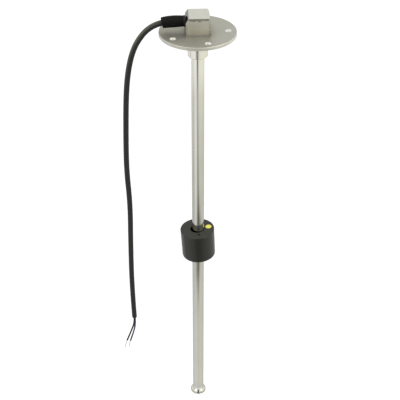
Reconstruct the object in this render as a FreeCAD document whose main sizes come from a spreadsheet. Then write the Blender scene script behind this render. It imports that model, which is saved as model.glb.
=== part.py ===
import FreeCAD, Part
import math
import os

import Sketcher

# Fuel level sender: a flange plate with a stem below it, a float on the stem, a welded terminal housing above
# and a two-core cable. Millimetres and degrees. The origin is the centre of the plate's underside, where it
# seals on the tank. +Z is up, the stem hangs along -Z, and the cable leaves towards -X.

SIZES = {
    # Flange plate
    "flange_diameter": 69.0,
    "flange_thickness": 3.0,
    "flange_edge": 0.3,
    "bolt_circle": 54.0,
    "bolt_hole": 5.5,
    "bolt_count": 5,
    "bolt_angle": 358.5,
    # Stem, with its collar above and its stop below
    "stem_diameter": 12.0,
    "stem_wall": 1.0,
    "stem_length": 449.0,
    "stem_rise": 2.0,
    "collar_diameter": 18.3,
    "collar_length": 20.8,
    "collar_edge": 0.6,
    "stop_diameter": 17.0,
    "stop_thickness": 3.6,
    "stop_rim": 1.5,
    "stop_crown": 13.0,
    "stop_edge": 0.6,
    "stop_spigot": 9.0,
    "spigot_edge": 0.5,
    # Room between pieces that are pushed or welded together
    "fit_gap": 0.05,
    # Terminal housing: a bent strip, with a leaning shoulder on each side, closed by two end plates
    "housing_width": 21.6,
    "housing_depth": 22.0,
    "housing_height": 16.0,
    "housing_bend": 0.4,
    "shoulder_height": 4.0,
    "free_side_lean": 1.1,
    "cable_side_lean": 2.3,
    "sheet_thickness": 1.2,
    "plate_inset": 0.3,
    # Cable, with its grommet and strain relief
    "cable_diameter": 5.2,
    "cable_height": 9.6,
    "cable_start": 6.5,
    "cable_turn": 22.5,
    "cable_end_edge": 0.8,
    "grommet_hole": 8.0,
    "grommet_flange": 10.0,
    "grommet_flange_thickness": 1.8,
    "boot_diameter": 9.6,
    "boot_reach": 31.2,
    "boot_gap": 0.1,
    "lead_diameter": 1.7,
    "tip_diameter": 1.0,
    "lead_side": 0.45,
    "lead_depth": 0.8,
    "core_bend": 5.0,
    # Circuit board in its liner
    "liner_wall": 0.45,
    "board_thickness": 1.0,
    "board_drop": 10.0,
    "core_lap": 8.0,
    "board_foot_thickness": 2.0,
    "reed_diameter": 2.0,
    "reed_glass": 14.0,
    "reed_taper": 1.2,
    "reed_length": 22.0,
    "reed_lead": 0.5,
    "reed_count": 16,
    "reed_shift": 1.6,
    "reed_foot": 0.8,
    "resistor_length": 3.2,
    "resistor_width": 1.6,
    "resistor_height": 0.6,
    "resistor_shift": 2.4,
    # Float and what it carries
    "float_top_diameter": 34.4,
    "float_bottom_diameter": 33.8,
    "float_height": 31.5,
    "float_bore": 14.2,
    "float_top_edge": 0.3,
    "float_bottom_edge": 1.4,
    "float_level": 230.05,
    "float_clearance": 0.3,
    "magnet_outer": 27.0,
    "magnet_inner": 20.0,
    "magnet_height": 6.0,
    "mark_diameter": 6.2,
    "mark_depth": 0.5,
    "mark_radius": 11.7,
    "mark_angle": 10.5,
    "pit_diameter": 2.6,
    "pit_depth": 1.5,
    "pit_radius": 10.7,
    "pit_angle": 277.3,
}

# The cable beyond its boot: an easy bend over the plate's rim, then a plain hang. The points of the cable,
# of its two leads and of their bare tips are X and Z from the top of the rim at the cable's side.
CABLE_HANG = [
    (0.5, 7.9),
    (-8.7, 3.2),
    (-16.1, -4.8),
    (-22.7, -16.4),
    (-27.5, -33.5),
    (-30.9, -57.5),
    (-33.2, -100.0),
    (-34.7, -143.0),
    (-32.9, -185.0),
    (-34.7, -235.0),
    (-35.9, -293.0),
    (-35.0, -336.0),
]
BLACK_LEAD = [(-35.3, -343.5), (-39.9, -356.7), (-44.6, -369.5)]
BLACK_TIP = [(-46.3, -374.1), (-47.0, -379.6)]
BLUE_LEAD = [(-34.3, -346.0), (-37.1, -359.5), (-41.1, -371.8)]
BLUE_TIP = [(-42.4, -375.8), (-42.5, -380.6)]

# Sizes that follow from others, as expressions on the sheet
BORE = "(Sizes.stem_diameter - 2 * Sizes.stem_wall)"
STEM_FOOT = "(Sizes.stop_thickness - Sizes.stem_length)"
SPIGOT_TOP = f"({STEM_FOOT} + Sizes.stop_spigot)"
BOARD_FOOT = f"({SPIGOT_TOP} + Sizes.board_foot_thickness)"
LINER_OUTER = f"({BORE} - 2 * Sizes.fit_gap)"
LINER_INNER = f"({LINER_OUTER} - 2 * Sizes.liner_wall)"
BOARD_WIDTH = f"(sqrt(pow({LINER_INNER} - 2 * Sizes.fit_gap; 2) - pow(Sizes.board_thickness; 2)))"
CABLE_LEVEL = "(Sizes.flange_thickness + Sizes.cable_height)"
FLOAT_PLAY = "(Sizes.float_bore - Sizes.stem_diameter - 2 * Sizes.float_clearance)"
FLOAT_TILT = f"atan({FLOAT_PLAY} / Sizes.float_height)"
FLOAT_TOP = "Sizes.float_height / 2"
MARK_X = "Sizes.mark_radius * cos(Sizes.mark_angle * 1 deg)"
MARK_Y = "Sizes.mark_radius * sin(Sizes.mark_angle * 1 deg)"

doc = FreeCAD.newDocument("fuel_level_sender")
sheet = doc.addObject("Spreadsheet::Sheet", "Sizes")
for row, (name, number) in enumerate(SIZES.items(), start=1):
    sheet.set(f"A{row}", name)
    sheet.set(f"B{row}", str(number))
    sheet.setAlias(f"B{row}", name)
doc.recompute()

nodes = []


def value(expression):
    """The number that an expression on the sheet comes to."""
    result = sheet.evalExpression(expression)
    return float(getattr(result, "Value", result))


def size(name):
    return float(sheet.get(name))


def keep(piece, label):
    """Name a finished piece, so that it is checked and written."""
    piece.Label = label
    nodes.append(piece)
    return piece


def new_body(label, x=None, z=None):
    """A body whose own origin stands at the given expressions."""
    body = keep(doc.addObject("PartDesign::Body", label), label)
    if x:
        body.setExpression("Placement.Base.x", x)
    if z:
        body.setExpression("Placement.Base.z", z)
    return body


def origin_part(body, role):
    return next(item for item in body.Origin.OriginFeatures if item.Role == role)


def new_sketch(body, name, role, height=None):
    """A sketch on one of the body's origin planes, raised along its normal by an expression."""
    sketch = body.newObject("Sketcher::SketchObject", name)
    sketch.AttachmentSupport = [(origin_part(body, role), "")]
    sketch.MapMode = "FlatFace"
    if height:
        sketch.setExpression("AttachmentOffset.Base.z", height)
    return sketch


def bind(sketch, constraint, name, expression):
    """Add a dimension and tie it to the sheet."""
    index = sketch.addConstraint(constraint)
    sketch.renameConstraint(index, name)
    sketch.setExpression(f"Constraints.{name}", expression)


def add_outline(sketch, corners):
    """A closed outline. Each corner is a pair of expressions measured from the sketch's origin."""
    places = [FreeCAD.Vector(value(x), value(y), 0) for x, y in corners]
    first = sketch.GeometryCount
    count = len(corners)
    for start, end in zip(places, places[1:] + places[:1]):
        sketch.addGeometry(Part.LineSegment(start, end))
    for step in range(count):
        line = first + step
        following = first + (step + 1) % count
        sketch.addConstraint(Sketcher.Constraint("Coincident", line, 2, following, 1))
    for step, ((x, y), place) in enumerate(zip(corners, places)):
        line = first + step
        bind(sketch, Sketcher.Constraint("DistanceX", -1, 1, line, 1, place.x), f"x{line}", x)
        bind(sketch, Sketcher.Constraint("DistanceY", -1, 1, line, 1, place.y), f"y{line}", y)


def add_circle(sketch, diameter, x="0", y="0"):
    """A circle whose diameter and centre are expressions."""
    centre = FreeCAD.Vector(value(x), value(y), 0)
    upright = FreeCAD.Vector(0, 0, 1)
    line = sketch.addGeometry(Part.Circle(centre, upright, value(diameter) / 2))
    bind(sketch, Sketcher.Constraint("Diameter", line, value(diameter)), f"diameter{line}", diameter)
    bind(sketch, Sketcher.Constraint("DistanceX", -1, 1, line, 3, centre.x), f"x{line}", x)
    bind(sketch, Sketcher.Constraint("DistanceY", -1, 1, line, 3, centre.y), f"y{line}", y)


def pad(body, sketch, length, symmetric=False, reverse=False):
    feature = body.newObject("PartDesign::Pad", "Pad")
    feature.Profile = sketch
    feature.setExpression("Length", length)
    feature.SideType = "Symmetric" if symmetric else "One side"
    feature.Reversed = reverse
    doc.recompute()


def pocket(body, sketch, depth=None, reverse=False):
    """Cut a sketch into the body, to a depth or right through."""
    before = body.Shape.Volume
    feature = body.newObject("PartDesign::Pocket", "Pocket")
    feature.Profile = sketch
    if depth:
        feature.setExpression("Length", depth)
        feature.Reversed = reverse
    else:
        feature.Type = "ThroughAll"
        feature.SideType = "Symmetric"
    doc.recompute()
    if not body.Shape.Volume < before:
        raise RuntimeError(f"{body.Label}: a pocket cuts nothing")
    return feature


def revolve(body, sketch, axis):
    """Turn a sketch about its own axis into a solid."""
    feature = body.newObject("PartDesign::Revolution", "Revolution")
    feature.Profile = sketch
    feature.ReferenceAxis = (sketch, [axis])
    feature.Angle = 360
    doc.recompute()


def groove(body, sketch, axis):
    """Cut a sketch, turned about its own axis, out of the body."""
    before = body.Shape.Volume
    feature = body.newObject("PartDesign::Groove", "Groove")
    feature.Profile = sketch
    feature.ReferenceAxis = (sketch, [axis])
    feature.Angle = 360
    doc.recompute()
    if not body.Shape.Volume < before:
        raise RuntimeError(f"{body.Label}: a groove cuts nothing")


def ease(body, kind, amount, wanted):
    """Round or chamfer the edges of the body that the wanted test picks."""
    base = body.Tip
    names = [f"Edge{i}" for i, edge in enumerate(base.Shape.Edges, start=1) if wanted(edge)]
    if not names:
        raise RuntimeError(f"{body.Label}: no edge to ease")
    feature = body.newObject(f"PartDesign::{kind}", kind)
    feature.Base = (base, names)
    feature.setExpression("Radius" if kind == "Fillet" else "Size", amount)
    doc.recompute()


def same(first, second):
    return abs(first - second) < 1e-6


def is_circle(edge, diameter=None, height=None):
    """True for a full circle about the body's Z axis of that diameter, at that height."""
    if not isinstance(edge.Curve, Part.Circle) or len(edge.Vertexes) != 1:
        return False
    right_size = diameter is None or same(edge.Curve.Radius, diameter / 2)
    return right_size and (height is None or same(edge.Curve.Center.z, height))


def ring(label, outer, inner, bottom, length):
    """A plain tube or ring about the Z axis."""
    body = new_body(label, z=bottom)
    section = new_sketch(body, "Section", "XY_Plane")
    add_circle(section, outer)
    add_circle(section, inner)
    pad(body, section, length)
    return body


def rounded_path(points, label):
    """Straight runs joined by tangent arcs, each as large as its two runs allow."""
    points = [FreeCAD.Vector(*point) for point in points]
    share = 0.45
    edges = []
    radii = []
    start = points[0]
    for before, corner, after in zip(points, points[1:], points[2:]):
        back = before - corner
        ahead = after - corner
        reach = share * min(back.Length, ahead.Length)
        half_turn = (math.pi - back.getAngle(ahead)) / 2
        radius = reach / math.tan(half_turn)
        back.normalize()
        ahead.normalize()
        inward = back + ahead
        inward.normalize()
        middle = corner + inward * (radius / math.cos(half_turn) - radius)
        end = corner + ahead * reach
        edges.append(Part.LineSegment(start, corner + back * reach).toShape())
        edges.append(Part.Arc(corner + back * reach, middle, end).toShape())
        radii.append(round(radius, 1))
        start = end
    edges.append(Part.LineSegment(start, points[-1]).toShape())
    if radii:
        print(label, "bend radii", radii)
    return Part.Wire(edges)


def sweep(path, diameter):
    """A round bar along a path."""
    start = path.Edges[0]
    direction = start.tangentAt(start.FirstParameter)
    section = Part.Wire(Part.makeCircle(diameter / 2, start.valueAt(start.FirstParameter), direction))
    bar = path.makePipeShell([section], True, False)
    expected = math.pi * diameter**2 / 4 * path.Length
    if abs(bar.Volume - expected) > 0.001 * expected:
        raise RuntimeError(f"sweep of {bar.Volume:.1f} where {expected:.1f} is right")
    return bar


def add_piece(label, shape):
    """A finished piece whose shape is swept along a route."""
    keep(doc.addObject("Part::Feature", label), label).Shape = shape


def from_rim(points, depth=0):
    """Route points in the part's frame, from X and Z measured from the top of the plate's rim."""
    rim = -size("flange_diameter") / 2
    top = size("flange_thickness")
    return [(rim + x, depth, top + z) for x, z in points]


def make_flange():
    body = new_body("flange_plate")
    outline = new_sketch(body, "PlateOutline", "XY_Plane")
    add_circle(outline, "Sizes.flange_diameter")
    pad(body, outline, "Sizes.flange_thickness")
    ease(body, "Fillet", "Sizes.flange_edge", is_circle)
    collar_hole = new_sketch(body, "CollarHole", "XY_Plane")
    add_circle(collar_hole, "Sizes.collar_diameter + 2 * Sizes.fit_gap")
    pocket(body, collar_hole)
    screw_hole = new_sketch(body, "ScrewHole", "XY_Plane")
    turn = "Sizes.bolt_angle * 1 deg"
    reach = "Sizes.bolt_circle / 2"
    add_circle(screw_hole, "Sizes.bolt_hole", f"{reach} * cos({turn})", f"{reach} * sin({turn})")
    hole = pocket(body, screw_hole)
    pattern = body.newObject("PartDesign::PolarPattern", "ScrewHoles")
    pattern.Originals = [hole]
    pattern.Axis = (origin_part(body, "Z_Axis"), [""])
    pattern.Angle = 360
    pattern.setExpression("Occurrences", "Sizes.bolt_count")
    body.Tip = pattern


def make_stem():
    """The tube, and the collar that holds it in the plate and is the float's upper stop."""
    top = "(Sizes.flange_thickness + Sizes.stem_rise)"
    ring("stem_tube", "Sizes.stem_diameter", BORE, STEM_FOOT, f"{top} - {STEM_FOOT}")
    inner = "Sizes.stem_diameter + 2 * Sizes.fit_gap"
    length = "Sizes.collar_length + Sizes.flange_thickness"
    collar = ring("upper_collar", "Sizes.collar_diameter", inner, "-Sizes.collar_length", length)
    diameter = size("collar_diameter")
    ease(collar, "Chamfer", "Sizes.collar_edge", lambda edge: is_circle(edge, diameter, 0))


def make_end_stop():
    body = new_body("end_stop", z="-Sizes.stem_length")
    profile = new_sketch(body, "Profile", "XZ_Plane")
    rim = "Sizes.stop_diameter / 2"
    spigot = f"{BORE} / 2 - Sizes.fit_gap"
    shoulder = "Sizes.stop_thickness"
    tip = "Sizes.stop_thickness + Sizes.stop_spigot"
    add_outline(profile, [("0", "0"), (rim, "0"), (rim, "Sizes.stop_rim"), ("Sizes.stop_crown / 2", shoulder),
                          (spigot, shoulder), (spigot, tip), ("0", tip)])
    revolve(body, profile, "V_Axis")
    diameter = size("stop_diameter")
    tip_height = value(tip)
    ease(body, "Fillet", "Sizes.stop_edge", lambda edge: is_circle(edge, diameter))
    ease(body, "Chamfer", "Sizes.spigot_edge", lambda edge: is_circle(edge, height=tip_height))


def upper_corners(inset, lean):
    """The two corners of a shoulder that leans so far, as half width and height, set in from the outside."""
    half = "Sizes.housing_width / 2"
    height = "Sizes.shoulder_height"
    slope = f"sqrt(pow({lean}; 2) + pow({height}; 2))"
    side = f"({half} - {inset})"
    knee = f"(Sizes.housing_height - {height} - {inset} * ({slope} - {height}) / {lean})"
    crown = f"({half} - {lean} - {inset} * ({slope} - {lean}) / {height})"
    return (side, knee), (crown, f"(Sizes.housing_height - {inset})")


def add_arch(sketch, inset, foot):
    """The housing's outline, set in from its outside, down to a foot."""
    (side, free_knee), (free_crown, top) = upper_corners(inset, "Sizes.free_side_lean")
    (_, cable_knee), (cable_crown, _) = upper_corners(inset, "Sizes.cable_side_lean")
    add_outline(sketch, [(f"-{side}", foot), (side, foot), (side, free_knee), (free_crown, top),
                         (f"-{cable_crown}", top), (f"-{side}", cable_knee)])


def arch_block(body, inset, depth):
    """Make the body a block of the housing's outline, set in from its outside, that stands on the plate."""
    body.setExpression("Placement.Base.z", "Sizes.flange_thickness")
    front = new_sketch(body, "Front", "XZ_Plane")
    add_arch(front, inset, "0")
    pad(body, front, depth, symmetric=True)


def is_bend(edge, corners):
    """True for an edge along Y at one of the corners, given as X and Z."""
    ends = [vertex.Point for vertex in edge.Vertexes]
    along = len(ends) == 2 and same(ends[0].x, ends[1].x) and same(ends[0].z, ends[1].z)
    return along and any(same(ends[0].x, x) and same(ends[0].z, z) for x, z in corners)


def round_bends(body, inset, radius):
    """Round the four bends of the housing's outline, set in from its outside."""
    corners = [(value(x), value(z)) for x, z in upper_corners(inset, "Sizes.free_side_lean")]
    corners += [(-value(x), value(z)) for x, z in upper_corners(inset, "Sizes.cable_side_lean")]
    ease(body, "Fillet", radius, lambda edge: is_bend(edge, corners))


def make_housing():
    """A bent strip for the sides and the top, and a plate welded into each of its open ends."""
    sheet_metal = "Sizes.sheet_thickness"
    cover = new_body("housing_cover")
    arch_block(cover, "0", "Sizes.housing_depth")
    inside = new_sketch(cover, "Inside", "XZ_Plane")
    add_arch(inside, sheet_metal, f"-{sheet_metal}")
    pocket(cover, inside)
    round_bends(cover, sheet_metal, "Sizes.housing_bend")
    round_bends(cover, "0", f"Sizes.housing_bend + {sheet_metal}")
    cable_hole = new_sketch(cover, "CableHole", "YZ_Plane", "-Sizes.housing_width / 2")
    add_circle(cable_hole, "Sizes.grommet_hole + 2 * Sizes.fit_gap", y="Sizes.cable_height")
    pocket(cover, cable_hole, f"2 * {sheet_metal} + Sizes.cable_side_lean", reverse=True)
    place = f"(Sizes.housing_depth / 2 - Sizes.plate_inset - {sheet_metal} / 2)"
    for label, side in (("housing_front_plate", "-"), ("housing_rear_plate", "")):
        plate = new_body(label)
        inset = f"({sheet_metal} + Sizes.fit_gap)"
        arch_block(plate, inset, sheet_metal)
        round_bends(plate, inset, "Sizes.housing_bend - Sizes.fit_gap")
        plate.setExpression("Placement.Base.y", f"{side}{place}")


def make_grommet():
    """A rubber bush with a flange outside the housing's side and a waist in its hole."""
    body = new_body("cable_grommet", x="-Sizes.housing_width / 2", z=CABLE_LEVEL)
    profile = new_sketch(body, "Profile", "XZ_Plane")
    hole = "Sizes.cable_diameter / 2 + Sizes.fit_gap"
    flange = "Sizes.grommet_flange / 2"
    waist = "Sizes.grommet_hole / 2"
    outside = "-Sizes.grommet_flange_thickness"
    wall = "Sizes.sheet_thickness"
    add_outline(profile, [(outside, hole), (outside, flange), ("0", flange), ("0", waist), (wall, waist),
                          (wall, hole)])
    revolve(body, profile, "H_Axis")


def cable_route():
    """From the cable's end in the housing, through the boot's turn, to the jacket's end."""
    level = value(CABLE_LEVEL)
    return [(-size("cable_start"), 0, level), (-size("cable_turn"), 0, level)] + from_rim(CABLE_HANG)


def make_boot():
    """A sleeve on the cable, from the grommet's flange past the cable's first turn."""
    turn, following = [FreeCAD.Vector(*point) for point in cable_route()[1:3]]
    start = FreeCAD.Vector(value("-Sizes.housing_width / 2 - Sizes.grommet_flange_thickness"), 0, turn.z)
    share = (-size("boot_reach") - turn.x) / (following.x - turn.x)
    end = turn + (following - turn) * share
    path = rounded_path([start, turn, end], "strain_relief_boot")
    hole = size("cable_diameter") + 2 * size("boot_gap")
    add_piece("strain_relief_boot", sweep(path, size("boot_diameter")).cut(sweep(path, hole)))


def make_cable():
    route = cable_route()
    bar = sweep(rounded_path(route, "signal_cable"), size("cable_diameter"))
    jacket_end = FreeCAD.Vector(*route[-1])
    end_edges = [edge for edge in bar.Edges if same(edge.CenterOfMass.distanceToPoint(jacket_end), 0)]
    add_piece("signal_cable", bar.makeChamfer(size("cable_end_edge"), end_edges))
    make_lead("black_lead", -1, BLACK_LEAD, BLACK_TIP)
    make_lead("blue_lead", 1, BLUE_LEAD, BLUE_TIP)


def make_lead(label, side, lead, tip):
    """A core beyond the jacket's end, and its bare tip. The two cores lie side by side in the jacket."""
    end_x, end_z = CABLE_HANG[-1]
    start = (end_x + side * size("lead_side"), end_z - size("fit_gap"))
    depth = side * size("lead_depth")
    lead_path = rounded_path(from_rim([start] + lead, depth), label)
    add_piece(label, sweep(lead_path, size("lead_diameter")))
    tip_path = rounded_path(from_rim(lead[-1:] + tip, depth), f"{label}_tip")
    add_piece(f"{label}_tip", sweep(tip_path, size("tip_diameter")))


def core_path(side):
    """From the cable's inner end over to the stem's axis and down along the board."""
    aside = side * value("Sizes.board_thickness / 2 + Sizes.lead_diameter / 2 + Sizes.fit_gap")
    height = value(CABLE_LEVEL)
    bend = size("core_bend")
    slack = bend * (1 - math.sqrt(0.5))
    over = FreeCAD.Vector(-size("cable_start"), aside, height)
    turn_start = FreeCAD.Vector(-bend, aside, height)
    turn_middle = FreeCAD.Vector(-slack, aside, height - slack)
    turn_end = FreeCAD.Vector(0, aside, height - bend)
    foot = FreeCAD.Vector(0, aside, -size("board_drop") - size("core_lap"))
    return Part.Wire([
        Part.LineSegment(over, turn_start).toShape(),
        Part.Arc(turn_start, turn_middle, turn_end).toShape(),
        Part.LineSegment(turn_end, foot).toShape(),
    ])


def make_cores():
    add_piece("black_core", sweep(core_path(-1), size("lead_diameter")))
    add_piece("blue_core", sweep(core_path(1), size("lead_diameter")))


def make_potting():
    """Resin that fills the housing round the stem's end, the cable and its cores."""
    gap = "Sizes.fit_gap"
    inset = f"(Sizes.sheet_thickness + {gap})"
    depth = f"(Sizes.housing_depth - 2 * Sizes.plate_inset - 2 * Sizes.sheet_thickness - 2 * {gap})"
    block = doc.addObject("PartDesign::Body", "PottingBlock")
    arch_block(block, inset, depth)
    round_bends(block, inset, f"Sizes.housing_bend - {gap}")
    stem_end = new_sketch(block, "StemEnd", "XY_Plane")
    add_circle(stem_end, f"Sizes.stem_diameter + 2 * {gap}")
    pocket(block, stem_end, "Sizes.stem_rise", reverse=True)
    wall = f"(Sizes.housing_width / 2 - {inset})"
    cable_end = new_sketch(block, "CableEnd", "YZ_Plane", f"-{wall}")
    add_circle(cable_end, f"Sizes.cable_diameter + 2 * {gap}", y="Sizes.cable_height")
    pocket(block, cable_end, f"{wall} - Sizes.cable_start", reverse=True)
    clear = size("lead_diameter") + 2 * size("fit_gap")
    channels = doc.addObject("Part::Feature", "CoreChannels")
    channels.Shape = sweep(core_path(-1), clear).fuse(sweep(core_path(1), clear))
    potting = keep(doc.addObject("Part::Cut", "potting"), "potting")
    potting.Base = block
    potting.Tool = channels


def make_board():
    """The board in its liner, standing on a foot on the end stop's spigot."""
    ring("board_liner", LINER_OUTER, LINER_INNER, BOARD_FOOT, f"-Sizes.board_drop - {BOARD_FOOT}")
    foot = new_body("board_foot", z=SPIGOT_TOP)
    disc = new_sketch(foot, "Disc", "XY_Plane")
    add_circle(disc, LINER_OUTER)
    pad(foot, disc, "Sizes.board_foot_thickness")
    board = keep(doc.addObject("Part::Box", "circuit_board"), "circuit_board")
    board.setExpression("Length", BOARD_WIDTH)
    board.setExpression("Width", "Sizes.board_thickness")
    board.setExpression("Height", f"-Sizes.board_drop - {BOARD_FOOT}")
    board.setExpression("Placement.Base.x", f"-{BOARD_WIDTH} / 2")
    board.setExpression("Placement.Base.y", "-Sizes.board_thickness / 2")
    board.setExpression("Placement.Base.z", BOARD_FOOT)


def make_reed(label, height):
    """A glass reed switch whose two leads stand on the board by their feet."""
    body = new_body(label, x="-Sizes.reed_shift", z=height)
    above_board = "(Sizes.reed_diameter / 2 + Sizes.fit_gap)"
    body.setExpression("Placement.Base.y", f"-Sizes.board_thickness / 2 - {above_board}")
    profile = new_sketch(body, "Profile", "XZ_Plane")
    wire = "Sizes.reed_lead / 2"
    glass = "Sizes.reed_diameter / 2"
    glass_end = "Sizes.reed_glass / 2"
    full = "(Sizes.reed_glass / 2 - Sizes.reed_taper)"
    end = "Sizes.reed_length / 2"
    add_outline(profile, [("0", f"-{end}"), (wire, f"-{end}"), (wire, f"-{glass_end}"), (glass, f"-{full}"),
                          (glass, full), (wire, glass_end), (wire, end), ("0", end)])
    revolve(body, profile, "V_Axis")
    feet = new_sketch(body, "Feet", "XZ_Plane")
    half = "Sizes.reed_foot / 2"
    outer_end = f"({end} - {wire})"
    inner_end = f"({outer_end} - Sizes.reed_foot)"
    for low, high in ((inner_end, outer_end), (f"-{outer_end}", f"-{inner_end}")):
        add_outline(feet, [(f"-{half}", low), (half, low), (half, high), (f"-{half}", high)])
    pad(body, feet, above_board, reverse=True)


def make_resistor(label, height):
    chip = keep(doc.addObject("Part::Box", label), label)
    chip.setExpression("Length", "Sizes.resistor_width")
    chip.setExpression("Width", "Sizes.resistor_height")
    chip.setExpression("Height", "Sizes.resistor_length")
    chip.setExpression("Placement.Base.x", "Sizes.resistor_shift - Sizes.resistor_width / 2")
    chip.setExpression("Placement.Base.y", "-Sizes.board_thickness / 2 - Sizes.resistor_height")
    chip.setExpression("Placement.Base.z", f"{height} - Sizes.resistor_length / 2")


def make_switches():
    """Reed switches, each with a resistor, spread from the float's highest place to the board's foot."""
    first = "(-Sizes.collar_length - Sizes.float_height / 2)"
    last = f"({BOARD_FOOT} + Sizes.reed_length / 2)"
    pitch = f"({first} - {last}) / (Sizes.reed_count - 1)"
    for step in range(int(size("reed_count"))):
        height = f"({first} - {step} * {pitch})"
        make_reed(f"reed_switch_{step + 1:02d}", height)
        make_resistor(f"resistor_{step + 1:02d}", height)


def lean(body):
    """Set a piece of the float at its level, cocked on the stem by the play in its bore."""
    body.Placement = FreeCAD.Placement(FreeCAD.Vector(), FreeCAD.Rotation(FreeCAD.Vector(0, -1, 0), 1))
    body.setExpression("Placement.Base.z", "-Sizes.float_level")
    body.setExpression("Placement.Rotation.Angle", FLOAT_TILT)


def make_float():
    body = new_body("float_body")
    profile = new_sketch(body, "Profile", "XZ_Plane")
    bore = "Sizes.float_bore / 2"
    top_rim = "Sizes.float_top_diameter / 2"
    bottom_rim = "Sizes.float_bottom_diameter / 2"
    bottom = f"-{FLOAT_TOP}"
    add_outline(profile, [(bore, bottom), (bottom_rim, bottom), (top_rim, FLOAT_TOP), (bore, FLOAT_TOP)])
    revolve(body, profile, "V_Axis")
    top_circle = (size("float_top_diameter"), value(FLOAT_TOP))
    bottom_circle = (size("float_bottom_diameter"), value(bottom))
    ease(body, "Fillet", "Sizes.float_top_edge", lambda edge: is_circle(edge, *top_circle))
    ease(body, "Fillet", "Sizes.float_bottom_edge", lambda edge: is_circle(edge, *bottom_circle))
    mark_seat = new_sketch(body, "MarkSeat", "XY_Plane", FLOAT_TOP)
    add_circle(mark_seat, "Sizes.mark_diameter + 2 * Sizes.fit_gap", MARK_X, MARK_Y)
    pocket(body, mark_seat, "Sizes.mark_depth")
    pit = new_sketch(body, "Pit", "XY_Plane", FLOAT_TOP)
    pit_x = "Sizes.pit_radius * cos(Sizes.pit_angle * 1 deg)"
    pit_y = "Sizes.pit_radius * sin(Sizes.pit_angle * 1 deg)"
    add_circle(pit, "Sizes.pit_diameter", pit_x, pit_y)
    pocket(body, pit, "Sizes.pit_depth")
    cell = new_sketch(body, "MagnetCell", "XZ_Plane")
    inner = "(Sizes.magnet_inner / 2 - Sizes.fit_gap)"
    outer = "(Sizes.magnet_outer / 2 + Sizes.fit_gap)"
    half = "(Sizes.magnet_height / 2 + Sizes.fit_gap)"
    add_outline(cell, [(inner, f"-{half}"), (outer, f"-{half}"), (outer, half), (inner, half)])
    groove(body, cell, "V_Axis")
    lean(body)


def make_magnet():
    """The ring magnet, moulded into the middle of the float."""
    body = new_body("float_magnet")
    section = new_sketch(body, "Section", "XY_Plane")
    add_circle(section, "Sizes.magnet_outer")
    add_circle(section, "Sizes.magnet_inner")
    pad(body, section, "Sizes.magnet_height", symmetric=True)
    lean(body)


def make_mark():
    """The round mark in its seat, flush with the float's top."""
    body = new_body("float_mark")
    dot = new_sketch(body, "Dot", "XY_Plane", f"{FLOAT_TOP} - Sizes.mark_depth")
    add_circle(dot, "Sizes.mark_diameter", MARK_X, MARK_Y)
    pad(body, dot, "Sizes.mark_depth")
    lean(body)


make_flange()
make_stem()
make_end_stop()
make_housing()
make_grommet()
make_boot()
make_cable()
make_cores()
make_potting()
make_board()
make_switches()
make_float()
make_magnet()
make_mark()
doc.recompute()

for item in doc.Objects:
    if "Invalid" in item.State or "Error" in item.State:
        raise RuntimeError(f"{item.Label} failed: {item.State}")
for node in nodes:
    if node.Shape.isNull() or not node.Shape.isValid() or not node.Shape.Solids:
        raise RuntimeError(f"{node.Label} has no valid shape")

os.makedirs("parts", exist_ok=True)
for node in nodes:
    node.Shape.exportStep(f"parts/{node.Label}.step")
print(len(nodes), "pieces written")
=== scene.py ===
import math

import bmesh
import bpy
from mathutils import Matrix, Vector


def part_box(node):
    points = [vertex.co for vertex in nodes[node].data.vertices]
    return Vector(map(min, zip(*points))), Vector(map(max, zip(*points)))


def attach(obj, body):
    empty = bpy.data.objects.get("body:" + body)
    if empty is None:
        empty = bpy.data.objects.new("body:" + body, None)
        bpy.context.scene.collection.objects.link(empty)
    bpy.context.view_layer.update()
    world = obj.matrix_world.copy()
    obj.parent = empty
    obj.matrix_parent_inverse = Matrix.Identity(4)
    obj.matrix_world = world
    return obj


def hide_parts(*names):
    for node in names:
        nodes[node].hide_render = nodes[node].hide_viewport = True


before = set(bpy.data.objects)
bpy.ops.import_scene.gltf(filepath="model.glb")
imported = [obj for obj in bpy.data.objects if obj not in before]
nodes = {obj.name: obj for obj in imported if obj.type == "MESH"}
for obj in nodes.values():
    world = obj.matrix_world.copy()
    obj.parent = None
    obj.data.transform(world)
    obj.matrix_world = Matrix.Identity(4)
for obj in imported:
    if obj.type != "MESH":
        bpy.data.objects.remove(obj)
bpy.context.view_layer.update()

# Looks for the fuel level sender. Lengths are millimetres where nothing else is said, and Blender's
# own are metres. The cable leaves the housing towards -X, and the photo shows the side at -Y.
MM = 0.001

# The photo's camera: where it stands, how many degrees it looks down and to the right, its focal
# length and sensor, and how near and far it sees, in metres.
CAMERA_PLACE = (-32.95, -724.14, 334.25)
CAMERA_DOWN = 35.29
CAMERA_RIGHT = 2.763
CAMERA_LENS = 80.33
CAMERA_SENSOR = 36
CAMERA_SIGHT = (0.01, 100)


# Node trees


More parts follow.
